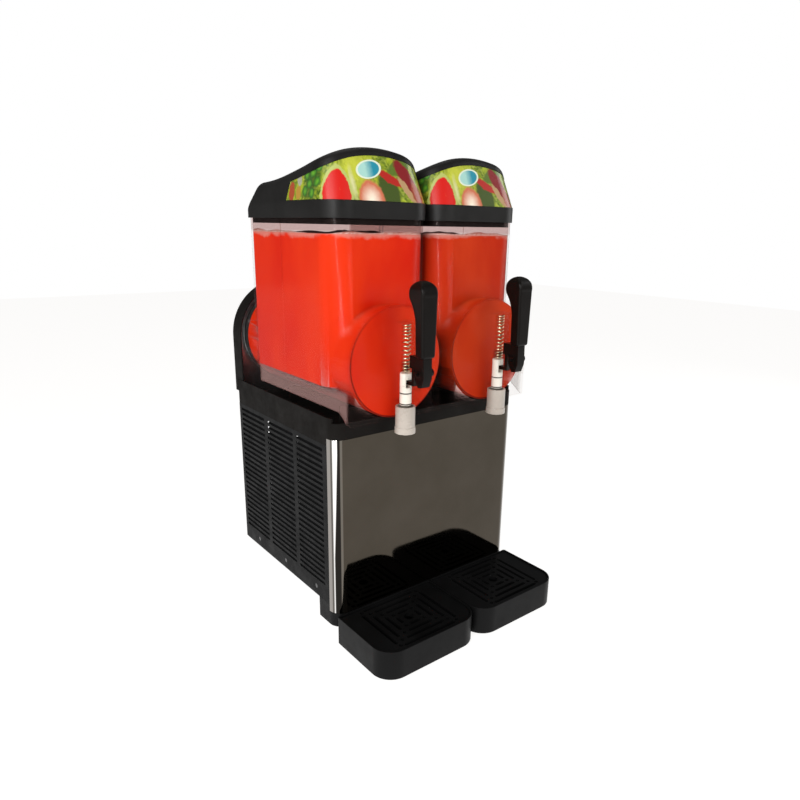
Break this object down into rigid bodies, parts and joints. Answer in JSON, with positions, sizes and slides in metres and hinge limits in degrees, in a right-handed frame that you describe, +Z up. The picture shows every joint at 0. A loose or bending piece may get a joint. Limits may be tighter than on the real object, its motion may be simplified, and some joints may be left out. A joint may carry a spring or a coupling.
{
  "type": "slushie machine",
  "caption": "Counter-top frozen drink machine with clear side-by-side bowls, pull-handle taps, augers and drip trays over a louvred, mirror-fronted cabinet.",
  "frame": {"origin": "centre of the footprint, on the counter", "axes": "+Z up, -Y towards the taps and drip trays, +X to the right seen from the front"},
  "size_m": [0.4, 0.495, 0.7955],
  "materials": {
    "zinc_steel": "plated",
    "rubber": "matte",
    "mirror_steel": "dark mirror polish",
    "side_paint": "satin",
    "black_plastic": "satin",
    "screw_steel": "plated",
    "deck_plastic": "satin",
    "black_paint": "gloss",
    "aluminium": "plain",
    "motor_paint": "satin",
    "copper": "plain",
    "switch_black": "gloss",
    "rocker_green": "gloss",
    "stainless": "brushed",
    "white_plastic": "satin",
    "clear_plastic": "clear",
    "slush_left": "wet ice",
    "slush_right": "wet ice",
    "frosted_plastic": "frosted",
    "spring_steel": "polished",
    "handle_plastic": "satin",
    "lid_plastic": "satin",
    "sign_print": "printed",
    "tray_plastic": "satin"
  },
  "bodies": {
    "machine": {"base_pan": "zinc_steel", "feet": "rubber", "cabinet_frame": "zinc_steel", "front_panel": "mirror_steel", "rear_panel": "side_paint", "front_plinth": "black_plastic", "panel_screws": "screw_steel", "deck": "deck_plastic", "rear_housing": "deck_plastic", "bulkhead": "zinc_steel", "compressor": "black_paint", "compressor_mounts": "rubber", "condenser": "aluminium", "fan_shroud": "zinc_steel", "fan_motor": "motor_paint", "filter_drier": "copper", "refrigerant_lines": "copper", "control_box": "zinc_steel", "switch_bodies": "switch_black", "cord_gland": "switch_black", "left_side_panel": "side_paint", "right_side_panel": "side_paint", "bowl_gaskets": "rubber", "shaft_bushes": "white_plastic", "left_evaporator": "stainless", "left_gear_motor": "motor_paint", "right_evaporator": "stainless", "right_gear_motor": "motor_paint"},
    "fan": {"fan_blades": "aluminium"},
    "power_switch": {"power_rocker": "rocker_green"},
    "cooling_switch": {"cooling_rocker": "switch_black"},
    "mixing_switch": {"mixing_rocker": "switch_black"},
    "left_auger": {"left_auger": "white_plastic", "left_drive_shaft": "stainless"},
    "left_bowl": {"left_bowl": "clear_plastic", "left_slush": "slush_left", "left_spout": "frosted_plastic", "left_tap_spring": "spring_steel", "left_handle_pin": "handle_plastic"},
    "left_handle": {"left_handle": "handle_plastic"},
    "left_piston": {"left_tap_piston": "white_plastic", "left_piston_rings": "rubber"},
    "left_lid": {"left_lid_shell": "lid_plastic", "left_lid_sign": "sign_print"},
    "left_tray": {"left_drip_tray": "tray_plastic"},
    "left_grille": {"left_drip_grille": "tray_plastic"},
    "right_auger": {"right_auger": "white_plastic", "right_drive_shaft": "stainless"},
    "right_bowl": {"right_bowl": "clear_plastic", "right_slush": "slush_right", "right_spout": "frosted_plastic", "right_tap_spring": "spring_steel", "right_handle_pin": "handle_plastic"},
    "right_handle": {"right_handle": "handle_plastic"},
    "right_piston": {"right_tap_piston": "white_plastic", "right_piston_rings": "rubber"},
    "right_lid": {"right_lid_shell": "lid_plastic", "right_lid_sign": "sign_print"},
    "right_tray": {"right_drip_tray": "tray_plastic"},
    "right_grille": {"right_drip_grille": "tray_plastic"}
  },
  "joints": [
    {"name": "fan_spin", "type": "hinge", "parent": "machine", "child": "fan", "pos_m": [-0.09, 0.0905, 0.165], "axis": [1, 0, 0], "continuous": true},
    {"name": "power_rock", "type": "hinge", "parent": "machine", "child": "power_switch", "pos_m": [0.1925, -0.0535, 0.318], "axis": [0, 1, 0], "range_deg": [-14, 0]},
    {"name": "cooling_rock", "type": "hinge", "parent": "machine", "child": "cooling_switch", "pos_m": [0.1925, -0.0535, 0.278], "axis": [0, 1, 0], "range_deg": [-14, 0]},
    {"name": "mixing_rock", "type": "hinge", "parent": "machine", "child": "mixing_switch", "pos_m": [0.1925, -0.0535, 0.238], "axis": [0, 1, 0], "range_deg": [-14, 0]},
    {"name": "left_auger_spin", "type": "hinge", "parent": "machine", "child": "left_auger", "pos_m": [-0.1, -0.1095, 0.482], "axis": [0, 1, 0], "continuous": true},
    {"name": "left_bowl_slide", "type": "slide", "parent": "machine", "child": "left_bowl", "axis": [0, -1, 0], "range_m": [0, 0.36]},
    {"name": "left_lid_lift", "type": "slide", "parent": "left_bowl", "child": "left_lid", "axis": [0, 0, 1], "range_m": [0, 0.15]},
    {"name": "left_handle_pull", "type": "hinge", "parent": "left_bowl", "child": "left_handle", "pos_m": [-0.1, -0.1975, 0.476], "axis": [1, 0, 0], "range_deg": [0, 20], "stiffness_Nm_per_rad": 0.94, "springref_deg": -28.65},
    {"name": "left_piston_lift", "type": "slide", "parent": "left_bowl", "child": "left_piston", "axis": [0, 0, 1], "range_m": [0, 0.014], "deforming": ["left_tap_spring"]},
    {"name": "left_tray_slide", "type": "slide", "parent": "machine", "child": "left_tray", "axis": [0, -1, 0], "range_m": [0, 0.06]},
    {"name": "left_grille_lift", "type": "slide", "parent": "left_tray", "child": "left_grille", "axis": [0, 0, 1], "range_m": [0, 0.05]},
    {"name": "right_auger_spin", "type": "hinge", "parent": "machine", "child": "right_auger", "pos_m": [0.1, -0.1095, 0.482], "axis": [0, 1, 0], "continuous": true},
    {"name": "right_bowl_slide", "type": "slide", "parent": "machine", "child": "right_bowl", "axis": [0, -1, 0], "range_m": [0, 0.36]},
    {"name": "right_lid_lift", "type": "slide", "parent": "right_bowl", "child": "right_lid", "axis": [0, 0, 1], "range_m": [0, 0.15]},
    {"name": "right_handle_pull", "type": "hinge", "parent": "right_bowl", "child": "right_handle", "pos_m": [0.1, -0.1975, 0.476], "axis": [1, 0, 0], "range_deg": [0, 20], "stiffness_Nm_per_rad": 0.94, "springref_deg": -28.65},
    {"name": "right_piston_lift", "type": "slide", "parent": "right_bowl", "child": "right_piston", "axis": [0, 0, 1], "range_m": [0, 0.014], "deforming": ["right_tap_spring"]},
    {"name": "right_tray_slide", "type": "slide", "parent": "machine", "child": "right_tray", "axis": [0, -1, 0], "range_m": [0, 0.06]},
    {"name": "right_grille_lift", "type": "slide", "parent": "right_tray", "child": "right_grille", "axis": [0, 0, 1], "range_m": [0, 0.05]}
  ],
  "couplings": [
    {"joint": "left_piston_lift", "follows": "left_handle_pull", "m_per_rad": 0.0395},
    {"joint": "right_piston_lift", "follows": "right_handle_pull", "m_per_rad": 0.0395}
  ]
}
